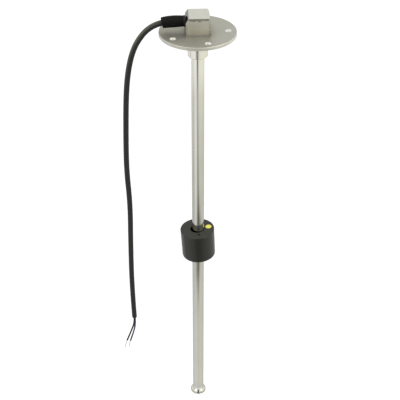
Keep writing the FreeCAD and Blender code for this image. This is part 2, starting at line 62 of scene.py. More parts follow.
class Shader:
    """A material with one principled shader, and short ways to add procedural nodes to it."""

    def __init__(self, name, colour, roughness, metallic=0.0, **sockets):
        self.material = bpy.data.materials.new(name)
        self.material.use_nodes = True
        self.tree = self.material.node_tree
        self.shader = self.tree.nodes["Principled BSDF"]
        self.set("Base Color", (*colour, 1.0))
        self.set("Roughness", roughness)
        self.set("Metallic", metallic)
        for socket, value in sockets.items():
            self.set(socket.replace("_", " "), value)

    def set(self, socket, value):
        """Set a socket of the principled shader."""
        self.shader.inputs[socket].default_value = value

    def link(self, source, socket):
        """Link a node's output to a socket of the principled shader."""
        self.tree.links.new(source, self.shader.inputs[socket])

    def node(self, kind, **inputs):
        """A new node. The names of its inputs have underscores for spaces."""
        made = self.tree.nodes.new(kind)
        for socket, source in inputs.items():
            self.feed(made.inputs[socket.replace("_", " ")], source)
        return made

    def feed(self, socket, source):
        """Link a socket to another node's output, or set it to a plain value."""
        if isinstance(source, bpy.types.NodeSocket):
            self.tree.links.new(source, socket)
        else:
            socket.default_value = source

    def coordinates(self, kind):
        """Object: places in the part's frame, in metres. Normal: where the surface faces."""
        return self.node("ShaderNodeTexCoord").outputs[kind]

    def place(self, scale=(1, 1, 1), shift=(0, 0, 0)):
        """Coordinates in the part's frame, in millimetres times the scale."""
        mapping = self.node("ShaderNodeMapping", Vector=self.coordinates("Object"))
        mapping.inputs["Scale"].default_value = [s / MM for s in scale]
        mapping.inputs["Location"].default_value = shift
        return mapping.outputs["Vector"]

    def split(self, vector):
        """X, Y and Z of a vector."""
        return self.node("ShaderNodeSeparateXYZ", Vector=vector).outputs

    def axes(self):
        """X, Y and Z in the part's frame, in millimetres."""
        return self.split(self.place())

    def normal(self):
        """X, Y and Z of the direction that the surface faces."""
        return self.split(self.coordinates("Normal"))

    def facing(self, axis):
        """How far the surface faces along an axis, either way, from 0 to 1."""
        return self.calc("ABSOLUTE", self.normal()[axis])

    def noise(self, scale, detail, shift=(0, 0, 0)):
        """Noise that repeats about scale times in each millimetre of X, Y and Z."""
        made = self.node(
            "ShaderNodeTexNoise", Vector=self.place(scale, shift), Scale=1.0, Detail=detail
        )
        return made.outputs["Fac"]

    def ramp(self, amount, *stops):
        """Colours along an amount from 0 to 1."""
        made = self.node("ShaderNodeValToRGB", Fac=amount)
        ramp = made.color_ramp
        while len(ramp.elements) < len(stops):
            ramp.elements.new(1.0)
        for element, (position, colour) in zip(ramp.elements, stops):
            element.position = position
            element.color = (*colour, 1.0)
        return made.outputs["Color"]

    def spread(self, amount, low, high, start=0.25, end=0.75):
        """Runs from low to high while the amount runs from start to end."""
        made = self.node(
            "ShaderNodeMapRange",
            Value=amount, From_Min=start, From_Max=end, To_Min=low, To_Max=high,
        )
        return made.outputs["Result"]

    def rise(self, amount, start, end):
        """From 0 to 1 while the amount runs from start to end."""
        return self.spread(amount, 0.0, 1.0, start, end)

    def fall(self, amount, start, end):
        """From 1 to 0 while the amount runs from start to end."""
        return self.spread(amount, 1.0, 0.0, start, end)

    def calc(self, operation, first, second=0.5):
        """One operation on numbers or outputs. Some take one number, and leave the second out."""
        made = self.tree.nodes.new("ShaderNodeMath")
        made.operation = operation
        self.feed(made.inputs[0], first)
        self.feed(made.inputs[1], second)
        return made.outputs["Value"]

    def blend(self, first, second, share):
        """Two amounts in one, with that share of the first."""
        rest = self.calc("MULTIPLY", second, 1 - share)
        return self.calc("ADD", self.calc("MULTIPLY", first, share), rest)

    def squares(self, first, second):
        """The sum of two squares."""
        others = self.calc("MULTIPLY", second, second)
        return self.calc("ADD", self.calc("MULTIPLY", first, first), others)

    def colour_from(self, source):
        """Take the base colour from a node's output."""
        self.colour = source
        self.link(source, "Base Color")

    def vary(self, amount, colour, variation):
        """Make the base colour a little darker and lighter with the amount."""
        dark = tuple(part * (1 - variation) for part in colour)
        light = tuple(part * (1 + variation) for part in colour)
        self.colour_from(self.ramp(amount, (0.3, dark), (0.7, light)))

    def vary_roughness(self, amount, roughness, variation):
        """Make the surface a little smoother and rougher with the amount."""
        self.link(self.spread(amount, roughness - variation, roughness + variation), "Roughness")

    def tint(self, mask, colour):
        """Multiply the base colour by another one, as far as the mask says."""
        made = self.tree.nodes.new("ShaderNodeMix")
        made.data_type = "RGBA"
        made.blend_type = "MULTIPLY"
        self.feed(made.inputs["Factor"], mask)
        self.feed(made.inputs["A"], self.colour)
        self.feed(made.inputs["B"], (*colour, 1.0))
        self.colour_from(made.outputs["Result"])

    def bump_from(self, height, depth):
        """Raise the surface by the height times the depth in millimetres."""
        made = self.node("ShaderNodeBump", Height=height, Distance=depth * MM, Strength=1.0)
        self.link(made.outputs["Normal"], "Normal")


# Materials

STEEL = (0.78, 0.77, 0.67)
# Grains of metal, as lines in each millimetre of X, Y and Z: few along the lines and many across.
SHEET_GRAIN = (0.15, 6.0, 6.0)
PLATE_GRAIN = (0.12, 6.0, 6.0)
TUBE_GRAIN = (5.0, 5.0, 0.04)
COLLAR_GRAIN = (0.2, 0.2, 6.0)
STOP_GRAIN = (0.3, 0.3, 6.0)
WELD_GRAIN = (2.2, 2.2, 2.2)
TINNED_GRAIN = (0.6, 0.6, 0.6)
# Slow clouds over the grain of metal, and how many times coarser than its grain a plain material's
# drift is.
CLOUDS = (0.09, 0.09, 0.05)
DRIFT_COARSER = 14

# The plate: its screw holes, the angle of the first one in degrees, the radii between which the
# painted highlight on its rim starts, where painted shade darkens it along X, and how far past a
# hole the painted reflection of light on its wall goes, as squares.
BOLT_CIRCLE = 54.0
BOLT_HOLE = 5.5
BOLT_COUNT = 5
BOLT_ANGLE = -1.5
FLANGE_RIM = (34.0, 34.2)
FLANGE_SHADE = (2.0, 16.0)
HOLE_HIGHLIGHT = (0.1, 0.5)
# The housing: half its size in X and Y, how far out painted shade round its foot darkens the plate
# and how much, up to where painted shade darkens the foot of its own sheet, and where the shoulder
# by the cable, which has a painted reflection of the dark boot, starts in X and Z.
HOUSING_HALF = (10.8, 11.0)
HOUSING_SHADE_REACH = 6.0
HOUSING_SHADE_SHARE = 0.55
FOOT_SHADE = (3.0, 10.0)
SHOULDER_X = (-8.7, -7.8)
SHOULDER_Z = (13.5, 15.5)
# The level of the painted highlight ring on the stem's foot, above the end stop, and how far it
# goes up and down from there. The levels between which painted shade darkens the end stop's rim.
RING_HIGHLIGHT = -442.9
RING_HIGHLIGHT_HALF = (0.9, 1.5)
RIM_SHADE = (-447.3, -446.3)
# How far a surface faces along an axis, from -1 to 1 or from 0 to 1, where a tone starts and ends.
# The tone of level faces is roughness; the others are painted highlights and painted shade.
RIM_SIDE_HIGHLIGHT = (0.65, 0.9)
SHEET_SIDE_SHADE = (0.75, 0.95)
CUT_EDGE_HIGHLIGHT = (0.9, 0.98)
LEVEL_FACES = (0.5, 0.9)
LIGHT_UPPER = (0.02, 0.4)
LIGHT_OUTER = (-0.6, -0.05)
WELD_SHADE_BY_CABLE = (-0.5, -0.1)


def steel(name, brightness, roughness, grain, variation=0.06, grain_depth=0.004, edge=1.0):
    """Stainless steel with fine lines. Edge is how much it mirrors where it is seen at a slant."""
    made = Shader(name, STEEL, roughness, metallic=1.0)
    made.set("Specular Tint", (edge, edge, edge, 1.0))
    lines = made.noise(grain, detail=4.0)
    clouds = made.noise(CLOUDS, detail=2.0, shift=(3.1, 1.7, 0.4))
    both = made.blend(lines, clouds, share=0.6)
    made.vary(both, [part * brightness for part in STEEL], variation)
    made.vary_roughness(both, roughness, variation=0.05)
    made.bump_from(lines, grain_depth)
    return made


def flange_steel():
    """Satin plate with painted highlights on its rim and hole walls, painted shade by the cable and
    housing.
    """
    made = steel("flange_steel", 0.605, 0.52, PLATE_GRAIN, edge=0.6)
    x, y, _ = made.axes()
    across = made.squares(x, y)
    radius = made.calc("SQRT", across)
    # Painted shade: darker towards the cable, at -X, where the boot and cable shade the plate.
    shade_along_x = made.fall(x, *FLANGE_SHADE)
    made.tint(shade_along_x, (0.91, 0.905, 0.885))
    off_sides = [
        made.calc("SUBTRACT", made.calc("ABSOLUTE", along), half)
        for along, half in zip((x, y), HOUSING_HALF)
    ]
    # Painted shade round the housing's foot, fading out over the reach.
    shade_round_housing = made.spread(made.calc("MAXIMUM", *off_sides), HOUSING_SHADE_SHARE, 0.0, 0.0, HOUSING_SHADE_REACH)
    made.tint(shade_round_housing, (0.8, 0.77, 0.72))
    # Painted highlight on the rim.
    rim = made.rise(radius, *FLANGE_RIM)
    made.tint(rim, (1.42, 1.42, 1.43))
    # More painted highlight on the rim where it faces along X.
    side_highlight_mask = made.calc("MULTIPLY", rim, made.rise(made.facing("X"), *RIM_SIDE_HIGHLIGHT))
    made.tint(side_highlight_mask, (1.32, 1.33, 1.42))
    # Painted reflection of light on the walls of the screw holes.
    hole_highlight_span = [BOLT_HOLE ** 2 / 4 + past for past in HOLE_HIGHLIGHT]
    bore_highlight = made.fall(from_bolts(made, x, y, across, radius), *hole_highlight_span)
    made.tint(bore_highlight, (2.4, 2.4, 2.6))
    return made.material


def from_bolts(made, x, y, across, radius):
    """The square of the distance from the nearest screw hole's axis."""
    turn = made.calc("SUBTRACT", made.calc("ARCTAN2", y, x), math.radians(BOLT_ANGLE))
    turn = made.calc("PINGPONG", turn, math.pi / BOLT_COUNT)
    towards = made.calc("MULTIPLY", radius, made.calc("COSINE", turn))
    nearer = made.calc("MULTIPLY", towards, BOLT_CIRCLE)
    return made.calc("SUBTRACT", made.calc("ADD", across, (BOLT_CIRCLE / 2) ** 2), nearer)


def sheet_steel(name, brightness, roughness):
    """Sheet with painted shade at its foot and on its sides across X."""
    made = steel(name, brightness, roughness, SHEET_GRAIN)
    # Painted shade: darker towards the foot, by the plate.
    foot = made.fall(made.axes()["Z"], *FOOT_SHADE)
    made.tint(foot, (0.9, 0.88, 0.86))
    # Painted shade on the sides that face along X.
    sides = made.rise(made.facing("X"), *SHEET_SIDE_SHADE)
    made.tint(sides, (0.62, 0.62, 0.62))
    return made


def cover_steel():
    """The housing's bent strip: a painted dark reflection of the boot on its shoulder by the cable,
    and painted highlights on its cut edges.
    """
    made = sheet_steel("cover_steel", 0.75, 0.2)
    x, _, z = made.axes()
    # Painted reflection of the dark boot on the shoulder, kept off the cut edges.
    shoulder = made.calc("MINIMUM", made.fall(x, *SHOULDER_X), made.rise(z, *SHOULDER_Z))
    off_edges = made.calc("SUBTRACT", 1.0, made.facing("Y"))
    made.tint(made.calc("MULTIPLY", shoulder, off_edges), (0.2, 0.2, 0.2))
    # Painted highlights on the cut edges.
    edges = made.rise(made.facing("Y"), *CUT_EDGE_HIGHLIGHT)
    made.tint(edges, (1.25, 1.25, 1.25))
    return made.material


def plate_steel():
    """The housing's end plates, a little warmer than the strip."""
    made = sheet_steel("plate_steel", 0.92, 0.34)
    made.tint(1.0, (1.03, 1.0, 0.99))
    return made.material


def tube_steel():
    """The polished stem, with a painted highlight ring on its foot, above the end stop."""
    made = steel("tube_steel", 1.0, 0.1, TUBE_GRAIN, edge=0.75)
    # Painted highlight: a bright ring on the stem's foot.
    off_ring = made.calc("ABSOLUTE", made.calc("SUBTRACT", made.axes()["Z"], RING_HIGHLIGHT))
    made.tint(made.fall(off_ring, *RING_HIGHLIGHT_HALF), (2.1, 2.1, 2.08))
    return made.material


def stop_steel():
    """The end stop, with painted shade on its rim."""
    made = steel("stop_steel", 0.92, 0.12, STOP_GRAIN, edge=0.75)
    # Painted shade on the rim, below the levels given.
    rim = made.fall(made.axes()["Z"], *RIM_SHADE)
    made.tint(rim, (0.55, 0.55, 0.54))
    return made.material


def plain(
    name, colour, roughness, grain=2.0, variation=0.15, depth=0.02, flat_roughness=None, painted_light=None,
    **sockets
):
    """Rubber, plastic or resin: a fine grain, with a slow drift in its colour.

    Its level faces may have a roughness of their own, and painted light may make the upper side of
    a bend towards -X that many times lighter."""
    made = Shader(name, colour, roughness, **sockets)
    fine = made.noise((grain,) * 3, detail=4.0)
    slow = made.noise((grain / DRIFT_COARSER,) * 3, detail=2.0, shift=(2.3, 0.9, 4.2))
    made.vary(made.blend(fine, slow, share=0.5), colour, variation)
    # Painted light on the upper side of a bend towards -X.
    if painted_light:
        x, _, z = made.normal()
        upper = made.rise(z, *LIGHT_UPPER)
        outer = made.fall(x, *LIGHT_OUTER)
        made.tint(made.calc("MULTIPLY", upper, outer), painted_light)
    if flat_roughness:
        level = made.facing("Z")
        made.link(made.spread(level, roughness, flat_roughness, *LEVEL_FACES), "Roughness")
    else:
        made.vary_roughness(slow, roughness, variation=0.06)
    made.bump_from(fine, depth)
    return made.material


# Geometry


def add_object(name, data, material):
    made = bpy.data.objects.new(name, data)
    bpy.context.scene.collection.objects.link(made)
    data.materials.append(material)
    return made


def add_mesh(name, points, faces, material, crease=40):
    """A mesh piece, smooth apart from edges sharper than the crease angle."""
    mesh = bpy.data.meshes.new(name)
    mesh.from_pydata([tuple(p) for p in points], [], faces)
    turned = bmesh.new()
    turned.from_mesh(mesh)
    bmesh.ops.recalc_face_normals(turned, faces=turned.faces)
    turned.to_mesh(mesh)
    turned.free()
    mesh.shade_smooth()
    mesh.set_sharp_from_angle(angle=math.radians(crease))
    return add_object(name, mesh, material)


def route_line(route, depth=0.0):
    """Close points along the smooth line that has the route's points as its control points."""
    curve = bpy.data.curves.new("route", "CURVE")
    curve.dimensions = "3D"
    curve.resolution_u = 24
    spline = curve.splines.new("NURBS")
    spline.points.add(len(route) - 1)
    for point, (x, z) in zip(spline.points, route):
        point.co = (x * MM, depth * MM, z * MM, 1.0)
    spline.order_u = 3
    spline.use_endpoint_u = True
    holder = bpy.data.objects.new("route", curve)
    mesh = bpy.data.meshes.new_from_object(holder)
    line = [vertex.co.copy() for vertex in mesh.vertices]
    bpy.data.meshes.remove(mesh)
    bpy.data.objects.remove(holder)
    bpy.data.curves.remove(curve)
    return line


def distances(line):
    """How far along the line each of its points is."""
    along = [0.0]
    for before, after in zip(line, line[1:]):
        along.append(along[-1] + (after - before).length)
    return along


def directions(line):
    """The line's direction at each of its points."""
    ends = [line[0]] + line + [line[-1]]
    return [(after - before).normalized() for before, after in zip(ends, ends[2:])]


def point_at(line, along, distance):
    """The place and direction of the line at a distance along it."""
    ways = directions(line)
    for i in range(len(line) - 1):
        if along[i + 1] >= distance:
            break
    share = (distance - along[i]) / (along[i + 1] - along[i])
    place = line[i].lerp(line[i + 1], share)
    return place, ways[i].lerp(ways[i + 1], share).normalized()


def reach_of(line, along, x):
    """How far along the line it first reaches that X."""
    for i in range(len(line) - 1):
        if line[i + 1].x <= x:
            break
    share = (x - line[i].x) / (line[i + 1].x - line[i].x)
    return along[i] + share * (along[i + 1] - along[i])


def ring_points(centre, direction, radius, sides, turn=0.0):
    """Points round a centre, across the direction. The routes all lie across the Y axis."""
    side = Vector((0, 1, 0))
    up = direction.cross(side).normalized()
    angles = [turn + 2 * math.pi * k / sides for k in range(sides)]
    return [centre + (side * math.cos(a) + up * math.sin(a)) * radius for a in angles]


def bridge(rings, sides, closed=False):
    """Faces between rings of points that follow each other."""
    faces = []
    count = len(rings)
    for i in range(count if closed else count - 1):
        first = i * sides
        second = (i + 1) % count * sides
        for k in range(sides):
            following = (k + 1) % sides
            faces.append((first + k, first + following, second + following, second + k))
    return faces


def skin(name, rings, material, closed=False, crease=40):
    """A mesh over rings of points. Its two ends are capped, unless it closes on itself."""
    sides = len(rings[0])
    points = [point for ring in rings for point in ring]
    faces = bridge(rings, sides, closed)
    if not closed:
        faces += [tuple(range(sides)), tuple(range(len(points) - sides, len(points)))]
    return add_mesh(name, points, faces, material, crease)


def round_rings(line, stations, sides):
    """Circles along a line. Stations are pairs of a distance along the line and a radius there."""
    along = distances(line)
    return [
        ring_points(*point_at(line, along, distance), radius, sides)
        for distance, radius in stations
    ]


# Cable

# Routes of the cable, its two leads and their bare tips: the source's points, as X and Z. The
# leads lie this deep in Y, one on each side.
CABLE_ROUTE = [
    (-6.5, 12.6),
    (-22.5, 12.6),
    (-34.0, 10.9),
    (-43.2, 6.2),
    (-50.6, -1.8),
    (-57.2, -13.4),
    (-62.0, -30.5),
    (-65.4, -54.5),
    (-67.7, -97.0),
    (-69.2, -140.0),
    (-67.4, -182.0),
    (-69.2, -232.0),
    (-70.4, -290.0),
    (-69.5, -333.0),
]
BLACK_LEAD = [(-69.95, -333.05), (-69.8, -340.5), (-74.4, -353.7), (-79.1, -366.5)]
BLACK_TIP = [(-79.1, -366.5), (-80.8, -371.1), (-81.5, -376.6)]
BLUE_LEAD = [(-69.05, -333.05), (-68.8, -343.0), (-71.6, -356.5), (-75.6, -368.8)]
BLUE_TIP = [(-75.6, -368.8), (-76.9, -372.8), (-77.0, -377.6)]
LEAD_DEPTH = 0.8

# Each bar's radius, the edge of its far end, and the length and number of its facets.
CABLE_RADIUS = 2.6
CABLE_EDGE = 0.8
CABLE_STEP = 2
CABLE_SIDES = 28
LEAD_RADIUS = 0.85
LEAD_EDGE = 0.15
LEAD_STEP = 1
LEAD_SIDES = 20
# How much narrower a bar gets on its end edge, as a share of that edge.
CHAMFER = 0.7
# A tip has one strand in the middle. The others lie STRAND_APART radii from it and turn round it.
STRAND_COUNT = 7
STRAND_RADIUS = 0.16
STRAND_APART = 2.05
STRAND_TURNS = 1.1
STRAND_SIDES = 8
STRAND_STEPS = 26

# The boot's two ends in X, its outer radius, how much that grows in the middle, and the radius of
# its hole. Its free end has one more ring in its edge, this share of the edge from the outside.
BOOT_ENDS = (-12.6, -31.2)
BOOT_RADIUS = 4.8
BOOT_SWELL = 0.4
BOOT_HOLE = 2.65
BOOT_EDGE = 0.35
BOOT_ROUND = 0.3
BOOT_STEPS = 16
BOOT_SIDES = 40


def bar_stations(length, radius, end_edge, step):
    """Stations of a plain bar whose far end is chamfered."""
    count = max(2, round((length - end_edge) / step))
    stations = [((length - end_edge) * k / count, radius) for k in range(count + 1)]
    return stations + [(length, radius - CHAMFER * end_edge)]


def make_cable():
    # The jacket has painted light on the upper side of its bend.
    jacket = plain(
        "cable_jacket", (0.0145, 0.0153, 0.0133), 0.55, grain=3.0, painted_light=(5.2, 5.4, 3.8),
        Specular_IOR_Level=0.3,
    )
    line = route_line(CABLE_ROUTE)
    length = distances(line)[-1]
    stations = bar_stations(length, CABLE_RADIUS * MM, CABLE_EDGE * MM, CABLE_STEP * MM)
    cable = skin("signal_cable_line", round_rings(line, stations, CABLE_SIDES), jacket)
    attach(cable, "sender")
    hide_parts("signal_cable")
    make_boot(line)
    black = plain("black_insulation", (0.008,) * 3, 0.5, grain=4.0, Specular_IOR_Level=0.3)
    blue = plain("blue_insulation", (0.045, 0.065, 0.13), 0.5, grain=4.0, Specular_IOR_Level=0.3)
    tinned = steel("tinned_copper", 1.1, 0.3, TINNED_GRAIN).material
    make_lead("black_lead", -LEAD_DEPTH, BLACK_LEAD, BLACK_TIP, black, tinned)
    make_lead("blue_lead", LEAD_DEPTH, BLUE_LEAD, BLUE_TIP, blue, tinned)


def make_lead(name, depth, route, tip_route, material, tinned):
    """One core past the jacket's end, with its bare strands."""
    line = route_line(route, depth)
    length = distances(line)[-1]
    stations = bar_stations(length, LEAD_RADIUS * MM, LEAD_EDGE * MM, LEAD_STEP * MM)
    lead = skin(f"{name}_line", round_rings(line, stations, LEAD_SIDES), material)
    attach(lead, "sender")
    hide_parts(name)
    strands = make_strands(f"{name}_strands", route_line(tip_route, depth), tinned)
    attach(strands, "sender")
    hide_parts(f"{name}_tip")


def strand_rings(line, along, strand):
    """Circles along one of the twisted strands. The first strand runs in the middle."""
    rings = []
    for k in range(STRAND_STEPS + 1):
        share = k / STRAND_STEPS
        centre, direction = point_at(line, along, along[-1] * share)
        if strand:
            turn = 2 * math.pi * (strand / (STRAND_COUNT - 1) + STRAND_TURNS * share)
            centre = ring_points(centre, direction, STRAND_APART * STRAND_RADIUS * MM, 1, turn)[0]
        rings.append(ring_points(centre, direction, STRAND_RADIUS * MM, STRAND_SIDES))
    return rings


def make_strands(name, line, material):
    """A bare tip: twisted strands along a line."""
    along = distances(line)
    points = []
    faces = []
    for strand in range(STRAND_COUNT):
        rings = strand_rings(line, along, strand)
        start = len(points)
        points += [point for ring in rings for point in ring]
        own = bridge(rings, STRAND_SIDES)
        own.append(tuple(range(STRAND_SIDES))[::-1])
        own.append(tuple(range(STRAND_STEPS * STRAND_SIDES, (STRAND_STEPS + 1) * STRAND_SIDES)))
        faces += [tuple(start + index for index in face) for face in own]
    return add_mesh(name, points, faces, material)


def make_boot(line):
    """The black sleeve on the cable beside the housing, cut off square and a little swollen."""
    rubber = plain("boot_rubber", (0.0035, 0.0035, 0.003), 0.6, grain=2.5, Specular_IOR_Level=0.12)
    along = distances(line)
    start, end = [reach_of(line, along, x * MM) for x in BOOT_ENDS]
    outer = BOOT_RADIUS * MM
    hole = BOOT_HOLE * MM
    edge = BOOT_EDGE * MM
    run = end - start - 2 * edge
    shares = [k / BOOT_STEPS for k in range(1, BOOT_STEPS + 1)]
    stations = [(start, outer - edge), (start + edge, outer)]
    for share in shares:
        swell = BOOT_SWELL * MM * math.sin(math.pi * share)
        stations.append((start + edge + run * share, outer + swell))
    stations += [
        (end - BOOT_ROUND * edge, outer - BOOT_ROUND * edge),
        (end, outer - edge),
        (end, hole + edge),
        (end - edge, hole),
    ]
    stations += [(end - edge - run * share, hole) for share in shares]
    boot = skin("boot_sleeve", round_rings(line, stations, BOOT_SIDES), rubber, closed=True)
    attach(boot, "sender")
    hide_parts("strain_relief_boot")


# Welds

# From the cable's side to the free side: where the housing's top is flat, and how far its seams go.
# Past the flat the top bends down with this radius.
HOUSING_FLAT = (-7.57, 8.48)
HOUSING_BEND = 1.6
SEAM_REACH = (-8.6, 9.6)
# Where a seam ran down its plate: the middle and half width of each run, and how far it ran.
SEAM_RUNS = [(-6.7, 0.8, 0.45), (-3.7, 0.9, 0.8), (1.3, 1.6, 1.0), (6.5, 1.5, 0.2)]
# A seam's height everywhere, what it has more away from its ends, what a full run adds, and the
# length of its tapered ends.
SEAM_HEIGHT = 1.6
SEAM_MORE = 0.35
SEAM_RUN_HEIGHT = 1.3
SEAM_TAPER = 0.8
# A seam's least bulge and what its waves add, how far it stands off the faces and lies below the
# housing's top, and how deep its root is in the plate.
SEAM_BULGE = (0.12, 0.16)
SEAM_PROUD = 0.02
SEAM_SUNK = 0.03
SEAM_ROOT = 0.3
SEAM_STEPS = 110
SEAM_FACETS = 8

# The foot weld's least leg and what its waves add, and how deep it goes into the housing and the
# flange plate.
FOOT_LEG = (0.62, 0.18)
FOOT_ROOT = 0.6
FOOT_SUNK = 0.05
FOOT_STEPS = 48
FOOT_CORNER_STEPS = 5
FOOT_FACETS = 6


def wave(x):
    """An uneven run of a weld along X: from 0 to 1."""
    return 0.5 + 0.3 * math.sin(0.95 * x + 1.2) + 0.2 * math.sin(2.3 * x + 0.3)


def run_down(x):
    """How far a seam ran down the plate at X: from 0 to 1."""
    return sum(far * math.exp(-((x - middle) / half) ** 2) for middle, half, far in SEAM_RUNS)


def seam_ring(x, side, face, ground, highest):
    """A seam's section at X: a bulging face from the strip's edge to the plate, and its root."""
    past_flat = max(0.0, HOUSING_FLAT[0] - x, x - HOUSING_FLAT[1])
    drop = HOUSING_BEND - math.sqrt(HOUSING_BEND ** 2 - past_flat ** 2)
    top = highest - (SEAM_SUNK + drop) * MM
    taper = min(1.0, (x - SEAM_REACH[0]) / SEAM_TAPER, (SEAM_REACH[1] - x) / SEAM_TAPER)
    bottom = top - (SEAM_HEIGHT + (SEAM_MORE + SEAM_RUN_HEIGHT * run_down(x)) * taper) * MM
    bulge = (SEAM_BULGE[0] + SEAM_BULGE[1] * wave(2.1 * x + 4.0) * taper) * MM
    ring = []
    for j in range(SEAM_FACETS + 1):
        share = j / SEAM_FACETS
        proud = bulge * math.sin(math.pi * share) + SEAM_PROUD * MM
        y = face + (ground - face) * share + side * proud
        ring.append(Vector((x * MM, y, top + (bottom - top) * share)))
    root = ground - side * SEAM_ROOT * MM
    return ring + [Vector((x * MM, root, bottom)), Vector((x * MM, root, top))]


def make_seam(name, side, material):
    """The weld over the top edge of an end plate: straight above, and uneven below."""
    _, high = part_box("housing_cover")
    plate = "housing_front_plate" if side < 0 else "housing_rear_plate"
    plate_low, plate_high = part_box(plate)
    face = high[1] * side
    ground = plate_low[1] if side < 0 else plate_high[1]
    low_x, high_x = SEAM_REACH
    places = [low_x + (high_x - low_x) * k / SEAM_STEPS for k in range(SEAM_STEPS + 1)]
    rings = [seam_ring(x, side, face, ground, high[2]) for x in places]
    seam = skin(name, rings, material, crease=60)
    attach(seam, "sender")


def foot_ring(foot, out, leg):
    """The foot weld's section: a quarter round that faces out, and its root."""
    up = Vector((0, 0, 1))
    inside = foot - out * FOOT_ROOT * MM
    ring = [inside - up * FOOT_SUNK * MM, inside + up * leg]
    for j in range(FOOT_FACETS + 1):
        angle = math.pi / 2 * j / FOOT_FACETS
        ring.append(foot + out * leg * math.sin(angle) + up * leg * math.cos(angle))
    ring.append(foot + out * leg - up * FOOT_SUNK * MM)
    return ring


def make_foot_weld(material):
    """The weld that runs round the foot of the housing."""
    low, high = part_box("housing_cover")
    plan = ((high[0], low[1]), (high[0], high[1]), (low[0], high[1]), (low[0], low[1]))
    corners = [Vector((x, y, low[2])) for x, y in plan]
    outward = [Vector((1, 0, 0)), Vector((0, 1, 0)), Vector((-1, 0, 0)), Vector((0, -1, 0))]
    rings = []
    for i, out in enumerate(outward):
        start = corners[i]
        end = corners[(i + 1) % 4]
        following = outward[(i + 1) % 4]
        stations = [(start.lerp(end, k / FOOT_STEPS), out) for k in range(FOOT_STEPS)]
        for k in range(FOOT_CORNER_STEPS):
            stations.append((end, out.slerp(following, k / FOOT_CORNER_STEPS)))
        for k, (foot, way) in enumerate(stations):
            leg = (FOOT_LEG[0] + FOOT_LEG[1] * wave(k * 0.9 + 3.0 * i)) * MM
            rings.append(foot_ring(foot, way, leg))
    weld = skin("housing_foot_weld", rings, material, closed=True, crease=60)
    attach(weld, "sender")


def make_welds():
    seam = steel("weld_steel", 0.42, 0.36, WELD_GRAIN, variation=0.25, grain_depth=0.03).material
    make_seam("housing_front_weld", -1, seam)
    make_seam("housing_rear_weld", 1, seam)
    # The foot weld's dark tone is partly its own and partly painted shade where the housing meets
    # the plate.
    foot = steel("foot_weld_steel", 0.31, 0.5, WELD_GRAIN, variation=0.25, grain_depth=0.03)
    # Painted shade on the side of the foot weld that faces the cable.
    shade_by_cable = foot.fall(foot.normal()["X"], *WELD_SHADE_BY_CABLE)
    foot.tint(shade_by_cable, (0.35, 0.35, 0.35))
    make_foot_weld(foot.material)


# The source's own pieces


def dress(material, *names):
    """Give CAD nodes their material."""
    for name in names:
        for slot in nodes[name].material_slots:
            slot.material = material


def dress_nodes():
    dress(flange_steel(), "flange_plate")
    dress(tube_steel(), "stem_tube")
    dress(steel("collar_steel", 1.0, 0.14, COLLAR_GRAIN, edge=0.75).material, "upper_collar")
    dress(stop_steel(), "end_stop")
    dress(cover_steel(), "housing_cover")
    dress(plate_steel(), "housing_front_plate", "housing_rear_plate")
    grommet = plain("grommet_rubber", (0.012, 0.012, 0.0115), 0.55, Specular_IOR_Level=0.25)
    dress(grommet, "cable_grommet")
    rubber = plain(
        "float_rubber", (0.0085, 0.0088, 0.0068), 0.27, flat_roughness=0.6,
        Specular_IOR_Level=0.57, Specular_Tint=(0.97, 1.0, 0.86, 1.0),
    )
    dress(rubber, "float_body")
    dress(plain("mark_paint", (0.80, 0.73, 0.10), 0.35, variation=0.06), "float_mark")
    dress(plain("magnet_ferrite", (0.05, 0.05, 0.055), 0.6), "float_magnet")
    dress(plain("board_mask", (0.02, 0.14, 0.06), 0.4), "circuit_board")
    liner = plain("liner_plastic", (0.65, 0.65, 0.6), 0.4, variation=0.05)
    dress(liner, "board_liner", "board_foot")
    dress(plain("potting_resin", (0.03, 0.03, 0.032), 0.35), "potting")
    dress(bpy.data.materials["black_insulation"], "black_core")
    dress(bpy.data.materials["blue_insulation"], "blue_core")
    glass = plain(
        "reed_glass", (0.55, 0.75, 0.62), 0.08, variation=0.05, depth=0.002, Transmission_Weight=0.8
    )
    dress(glass, *[name for name in nodes if name.startswith("reed_switch")])
    ceramic = plain("resistor_ceramic", (0.03, 0.03, 0.035), 0.4)
    dress(ceramic, *[name for name in nodes if name.startswith("resistor")])


# Studio. Its lengths are metres, and its angles are degrees to the right of the camera's side.

WORLD_LIGHT = 0.8
LAMPS = {"left_lamp": (-1.2, -0.7, 1.3), "right_lamp": (1.3, -0.5, 1.1)}
LAMP_AIM = (0, 0, -0.15)
LAMP_SIZE = 1.0
LAMP_POWER = 13

FLOOR_LEVEL = -0.8
FLOOR_HALF = 9.0
# How much the floor is lifted at two distances, because the lamps light its far parts less.
FLOOR_LIFT = ((0.3, 0.12), (2.0, 0.30))
# The rays that see the floor and the world as white.
SEEN = ("Is Camera Ray", "Is Glossy Ray", "Is Transmission Ray")

REFLECTOR_RADIUS = 8.0
REFLECTOR_RISE = 0.002
REFLECTOR_SIDES = 64
# How far out the tables below go. Each has pairs of a distance from the stem and a level there.
TABLE_REACH = 2.0
CARD_LEVEL = [
    (0.05, 0.75), (0.29, 0.5), (0.345, 0.73), (0.5, 0.68), (0.85, 0.63), (1.15, 0.7), (1.36, 0.78),
    (1.5, 1.0), (1.8, 0.93), (1.95, 0.82),
]
# The dark wedge and the bright strip: their direction, and how far they fade to each side.
WEDGE = (8, 21, 23)
WEDGE_DEPTH = [
    (0.3, 0.08), (0.53, 0.13), (0.65, 0.85), (0.77, 1.0), (0.9, 0.66), (1.36, 0.42), (1.52, 1.0),
    (1.8, 0.8),
]
STRIP = (-42, 20, 20)
STRIP_LEVEL = [
    (0.5, 0.02), (0.66, 0.0), (0.74, 0.1), (0.85, 0.24), (1.15, 0.3), (1.45, 0.06),
]
